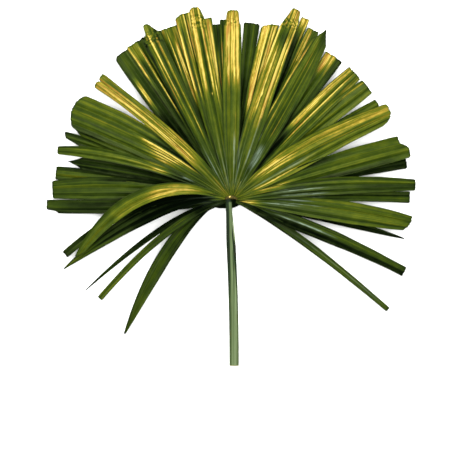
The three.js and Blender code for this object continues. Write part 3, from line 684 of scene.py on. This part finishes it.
def segment_tone(row, rng, length, share, across, width, phase, to_line, on_crest):
    """The tone over a segment: its own, a little more in the crown, a slight change on each face of a
    pleat, its streaks and the roots' shared tone; then a painted highlight on the crests, painted shade in
    the valleys, most so near the hub, painted shade at the side edges, a darker cut end, and deeper
    painted shade near the hub the lower the layer."""
    faces = rng.uniform(-0.04, 0.04, 2 * row.folds + 1)
    tone = row.tone + faces[np.floor(phase).astype(int)] + bands(row.streaks, share, across)
    if abs(row.root) < CROWN_HALF:
        tone = tone + CROWN_GAIN
    near_hub = 1 - smoothstep(share, 0.12, 0.45)
    if row.layer > 0 and abs(row.root) < UPPER_HALF:
        root_tone = LEFT_ROOT_TONE if row.root < LEFT_ROOT else ROOT_TONE
        tone = tone + (root_tone - row.tone) * (1 - smoothstep(share, 0.05, 0.2))
    # Painted highlight on the pleats' crests and painted shade in their valleys.
    crest = np.exp(-((to_line / 0.5) ** 2)) * on_crest
    valley_shade = np.exp(-((to_line / 0.7) ** 2)) * (1 - on_crest)
    tone = tone + 0.03 * crest - valley_shade * (0.06 + 0.07 * near_hub)
    # Painted shade along the side edges, where the segments overlap, and a darker cut end.
    from_edge = (1 - np.abs(across)) * width / 2
    from_end = (1 - length) * row.reach
    tone = tone - 0.12 * np.exp(-((from_edge / 0.7) ** 2)) - 0.2 * np.exp(-((from_end / 0.9) ** 2))
    # Painted shade near the hub, deeper the lower the layer.
    depth = 1 - row.layer / HIGHEST_LAYER
    return tone - 0.15 * depth * smoothstep(share, 0.1, 0.24) * (1 - smoothstep(share, 0.35, 0.8))


def segment_piece(number, row, material):
    """One segment: in plan the quadratic curve (1-s)^2 root + 2s(1-s) knee + s^2 tip, and across it soft
    pleats of uneven width with their edges and every second fold line high, a ridge on each fold line,
    fine veins, a slight twist, a slow wave along it, puckers and thin edges, closed as a sheet."""
    rng = np.random.default_rng(SEED + number)
    columns = 2 * row.folds * COLUMNS_A_FACE * (2 if row.folds == 1 else 1) + 1
    length = np.linspace(0, 1, ROWS)[:, None]
    across = np.linspace(-1, 1, columns)[None, :]

    places, setbacks = zip(*row.end)
    teeth = np.convolve(rng.normal(0, TOOTH_HEIGHT, columns + 2), (0.25, 0.5, 0.25), "valid")
    back = np.interp(across, places, setbacks) + teeth * (0.15 if row.end is POINT else 1)
    share = length - back / row.reach * smoothstep(length, END_STRETCH, 1)
    share = np.clip(share, 0, 1)
    width = width_at(row, share)
    phases = rng.uniform(0, 2 * np.pi, 6)
    width = width * (1 + WIDTH_WAVE * np.sin(9 * np.pi * share + phases[0]))

    knee = row.knee or KNEE_SHARE * row.reach
    start = from_hub(row.root, ROOT_RADIUS)
    bend = from_hub(row.root, knee)
    stop = from_hub(row.tip, row.reach)
    s = share[..., None]
    centre = (1 - s) ** 2 * start + 2 * s * (1 - s) * bend + s ** 2 * stop
    tangent = 2 * (1 - s) * (bend - start) + 2 * s * (stop - bend)
    tangent = tangent / np.linalg.norm(tangent, axis=-1, keepdims=True)
    sideways = np.stack([tangent[..., 1], -tangent[..., 0]], axis=-1)
    plan = centre + sideways * (across * width / 2)[..., None]

    uneven = FOLD_UNEVENNESS * (1 - across ** 2) * np.sin(2 * np.pi * across + phases[3])
    phase = (across + 1 + uneven) * row.folds
    wave = np.arcsin(FOLD_SOFTNESS * np.cos(np.pi * phase)) / math.asin(FOLD_SOFTNESS)
    face = width / (2 * row.folds)
    to_line = np.abs(phase - np.round(phase)) * face
    on_crest = np.where(np.round(phase) % 2 == 0, 1.0, 0.0)
    ridge = np.exp(-((to_line / RIDGE_HALF) ** 2)) * (RIDGE_HEIGHT * on_crest - RIDGE_CUT)
    veins = VEIN_HEIGHT * np.cos(2 * np.pi * VEINS_A_FACE * phase) * smoothstep(share, 0.05, 0.3)
    relief = 0.5 * wave * face * math.tan(FOLD_SLOPE) + ridge + veins

    crimp = 0 * share
    if row.crimp:
        first, last = row.crimp
        crimp = smoothstep(share, first - PUCKER_EDGE, first + PUCKER_EDGE)
        crimp = crimp * (1 - smoothstep(share, last - PUCKER_EDGE, last + PUCKER_EDGE))
    puckers = PUCKER_HEIGHT * crimp * np.sin(share * row.reach * 1.7 + 2.5 * np.sin(4 * across + phases[4]))

    free = smoothstep(share, 0.15, 0.6)
    slow = SLOW_WAVE_HEIGHT * np.sin(2 * np.pi * 1.3 * share + phases[1]) * free
    twist = TWIST * np.sin(2 * np.pi * 0.8 * share + phases[2]) * free
    arched = -EDGE_DROOP * width * across ** 2 * free
    height = height_at(row, share) + relief + puckers + slow + np.tan(twist) * across * width / 2 + arched
    half = SHEET / 2 * (1 - EDGE_THINNING * np.abs(across) ** 12)
    height = np.maximum(height, half + FLOOR_CLEARANCE)

    tone = segment_tone(row, rng, length, share, across, width, phase, to_line, on_crest)
    # Painted sheen along the pleats' crests near the hub, added to the sheen bands.
    rib_sheen = np.exp(-((to_line / 0.55) ** 2)) * on_crest * smoothstep(share, 0.03, 0.1)
    rib_sheen = rib_sheen * (CROWN_RIB_SHEEN if abs(row.root) < RIBBED_HALF else SIDE_RIB_SHEEN)
    sheen = bands(row.sheen, share, across) + rib_sheen * (1 - smoothstep(share, 0.12, 0.4))
    rust = CROWN_RUST if abs(row.root) < CROWN_HALF else SIDE_RUST
    layers = {"tone": tone, "sheen": sheen, "crimp": crimp + 0 * across, "rust": 0 * tone + rust}
    layers = {name: np.stack([values, values]) for name, values in layers.items()}
    layers["under"] = np.stack([0 * share, 0 * share + 1])
    aside = across * max(row.widths) / 2 + NOISE_STEP * number
    uv = np.dstack([share * row.reach * MM, aside * MM + 0 * share])
    points = np.stack([np.dstack([plan, height + half]), np.dstack([plan, height - half])])
    faces = sheet_faces(ROWS, columns)
    piece = make_mesh(f"segment_{number:02d}", points, faces, np.stack([uv, uv]), layers)
    finish_piece(piece, "blade", material)


def hub_piece(material):
    """The blade's middle, under the segments' roots: rings whose radius follows an outline round the
    hub, wide to the left where the base of the leaf shows."""
    turns = np.linspace(-np.pi, np.pi, HUB_SIDES, endpoint=False)[None, :]
    bearings, radii = zip(*HUB_OUTLINE)
    outline = np.interp(np.degrees(turns), bearings, radii)
    heights, shares = zip(*HUB_RINGS)
    steps = np.linspace(0, 1, HUB_ROWS)[:, None]
    knots = np.linspace(0, 1, len(heights))
    height = np.interp(steps, knots, heights)
    radius = np.maximum(np.interp(steps, knots, shares) * outline, 0.02)
    points = np.dstack([radius * np.sin(turns), radius * np.cos(turns), height + 0 * turns])
    rows, columns = points.shape[:2]
    ring = np.arange(columns)
    faces = [*grid_faces(rows, columns, closed=True), ring[::-1], ring + (rows - 1) * columns]
    uv = np.dstack([radius * MM, turns * 5 * MM + 0 * radius])
    still = 0 * radius
    # The hub's tone is nearly black: painted shade under the segments' roots.
    layers = {"tone": still + 0.03, "sheen": still, "crimp": still, "rust": still, "under": still}
    finish_piece(make_mesh("hub", points, faces, uv, layers), "blade", material)


# Stalk and hastula


def stalk_piece(material):
    """A half-round profile with a flat foot, carried along the stalk, with a channel in its upper side
    that wanders to the right, and a fine line beside it. A band of painted shade runs down its left side
    and another down its right, past a short lit edge near the hub that is a painted highlight, with a pale
    stripe beside the fine line. It is painted dark with shade where it goes in under the crest."""
    share = np.linspace(0, 1, STALK_STATIONS)[:, None]
    angle = np.linspace(0, 2 * np.pi, STALK_SIDES, endpoint=False)[None, :]
    y = STALK_TOP - share * (STALK_TOP + STALK_LENGTH)
    down = np.clip(-y / STALK_LENGTH, 0, 1)
    width = STALK_WIDTH_AT_HUB + (STALK_WIDTH - STALK_WIDTH_AT_HUB) * smoothstep(down, 0, STALK_WIDENING)
    middle = STALK_SIDE + STALK_LEAN * down * (2 - down)
    foot = STALK_RISE * smoothstep(y, -STALK_RISE_LENGTH, 0)
    side = np.sign(np.cos(angle)) * np.abs(np.cos(angle)) ** 0.9 / 2
    upward = np.sin(angle)
    level = np.clip(0.46 + 0.5 * upward, 0, 1)
    groove = np.exp(-(((side - np.interp(down, *CHANNEL_PLACE)) / (0.09 + 0.05 * down)) ** 2))
    groove = groove * smoothstep(down, 0.08, 0.2)
    line = np.interp(down, *LINE_PLACE)
    hairline = np.exp(-(((side - line) / 0.045) ** 2)) * np.interp(down, *LINE_STRENGTH)
    top = smoothstep(upward, 0.1, 0.6)
    lines = 0.012 * np.cos(26 * angle) * smoothstep(upward, -0.4, 0.2)
    cuts = (0.12 * groove + 0.05 * hairline) * top
    z = foot + STALK_DEPTH * np.clip(level - cuts + lines, 0, 1)
    points = np.dstack([middle + side * width, y + 0 * side, z])
    rows, columns = points.shape[:2]
    ring = np.arange(columns)
    faces = [*grid_faces(rows, columns, closed=True), ring[::-1], ring + (rows - 1) * columns]
    left = np.interp(down, *LEFT_EDGE)
    right = np.interp(down, *RIGHT_EDGE)
    tone = np.interp(down, *STALK_TONE) + 0 * side
    # Painted shade down the left and right sides.
    tone = tone - np.interp(down, *LEFT_SHADE) * smoothstep(-side, -left - 0.05, -left + 0.05)
    tone = tone - np.interp(down, *RIGHT_SHADE) * smoothstep(side, right - 0.04, right + 0.04)
    tone = tone - 0.5 * hairline
    tone = tone - 0.22 * np.exp(-(((side - 0.18) / 0.12) ** 2)) * bell(down, 0.36, 0.06)
    tone = tone + 0.14 * np.exp(-(((side - line - 0.14) / 0.07) ** 2)) * smoothstep(down, 0.45, 0.54)
    # Painted highlight: a short lit edge on the right near the hub.
    tone = tone + smoothstep(side, 0.3, 0.36) * bell(down, 0.19, 0.06)
    # Painted shade where the stalk goes in under the crest.
    tone = tone - 0.65 * smoothstep(y, -3, -0.5)
    cut = smoothstep(share, 0.9985, 1) + 0 * side
    uv = np.dstack([-y * MM + 0 * angle, angle * 4 * MM + 0 * y])
    piece = make_mesh("stalk", points, faces, uv, {"tone": tone, "cut": cut})
    finish_piece(piece, "petiole", material)


def hastula_piece(material):
    """A bowed bead that thins towards both ends, with a ragged crest along its top and a pale painted
    highlight a little left of its middle."""
    share = np.linspace(-1, 1, HASTULA_STATIONS)[:, None]
    angle = np.linspace(0, 2 * np.pi, HASTULA_SIDES, endpoint=False)[None, :]
    swell = np.sqrt(1 - HASTULA_TAPER * share ** 2)
    rough = 1 - 0.07 * (1 + np.sin(17 * share + 2 * np.cos(angle)) * np.cos(3 * angle + 5 * share))
    x = HASTULA_PLACE[0] + share * HASTULA_LENGTH / 2 + 0 * angle
    y = HASTULA_PLACE[1] - HASTULA_BOW * share ** 2 + np.cos(angle) * HASTULA_WIDTH / 2 * swell * rough
    z = HASTULA_PLACE[2] + np.sin(angle) * HASTULA_DEPTH / 2 * swell * rough
    points = np.dstack([x, y, z])
    rows, columns = points.shape[:2]
    ring = np.arange(columns)
    faces = [*grid_faces(rows, columns, closed=True)[:, ::-1], ring, (ring + (rows - 1) * columns)[::-1]]
    # Painted highlight: a pale golden place on top of the crest.
    highlight_spot = np.exp(-(((x - HIGHLIGHT_PLACE[0]) / 1.3) ** 2) - ((y - HIGHLIGHT_PLACE[1]) / 1.2) ** 2)
    highlight_spot = highlight_spot * smoothstep(np.sin(angle), 0, 0.5)
    crest = 0.3 + 0.12 * smoothstep(np.sin(angle), 0.3, 1) * swell + 0.75 * highlight_spot
    piece = make_mesh("crest", points, faces, None, {"crest": crest})
    finish_piece(piece, "hastula", material)


# Floor, lights and camera


def stage_floor():
    """A large square floor under the leaf."""
    corners = np.array([(-1, -1, 0), (1, -1, 0), (1, 1, 0), (-1, 1, 0)]) * FLOOR_REACH
    floor = make_mesh("floor", corners, [(0, 1, 2, 3)])
    floor.data.materials.append(floor_finish())


def softbox(name, place, target, size, power):
    """A square area light at a place, aimed at a target, all in metres."""
    light = bpy.data.lights.new(name, "AREA")
    light.shape = "SQUARE"
    light.size = size
    light.energy = power
    lamp = bpy.data.objects.new(name, light)
    lamp.location = place
    lamp.rotation_euler = (Vector(target) - Vector(place)).to_track_quat("-Z", "Y").to_euler()
    bpy.context.scene.collection.objects.link(lamp)


def studio():
    """A soft key light from beyond the crown, a broad one overhead, weaker ones on each side and in
    front, and a dim room."""
    centre = (0, 0.02, 0)
    softbox("key", (0.05, 1.25, 1.3), centre, 0.7, 36)
    softbox("overhead", (0, 0.02, 2.6), centre, 2.0, 74)
    softbox("fill_left", (-1.5, 0.3, 1.4), centre, 1.0, 20)
    softbox("fill_right", (1.5, 0.1, 1.4), centre, 1.0, 18)
    softbox("fill_front", (-0.2, -1.4, 1.5), centre, 1.2, 12)
    world = bpy.data.worlds.new("dim_room")
    world.use_nodes = True
    background = world.node_tree.nodes["Background"]
    background.inputs["Color"].default_value = (0.95, 0.97, 1, 1)
    background.inputs["Strength"].default_value = 0.2
    bpy.context.scene.world = world
    bpy.context.scene.view_settings.view_transform = "Standard"


def overhead_camera():
    """A camera straight above the leaf, with the hub on its pixel."""
    middle = FRAME_PIXELS / 2
    across = (middle - HUB_PIXEL[0]) * MM_A_PIXEL * MM
    along = (HUB_PIXEL[1] - middle) * MM_A_PIXEL * MM
    data = bpy.data.cameras.new("overhead")
    data.sensor_width = SENSOR
    data.lens = SENSOR * CAMERA_HEIGHT / (FRAME_PIXELS * MM_A_PIXEL)
    camera = bpy.data.objects.new("overhead", data)
    camera.location = (HUB[0] + across, HUB[1] + along, CAMERA_HEIGHT * MM)
    bpy.context.scene.collection.objects.link(camera)
    bpy.context.scene.camera = camera


overhead_camera()
stage_floor()
studio()
LEAF = blade_finish()
for order, entry in enumerate(SEGMENTS, start=1):
    segment_piece(order, entry, LEAF)
hub_piece(LEAF)
stalk_piece(stalk_finish())
hastula_piece(hastula_finish())
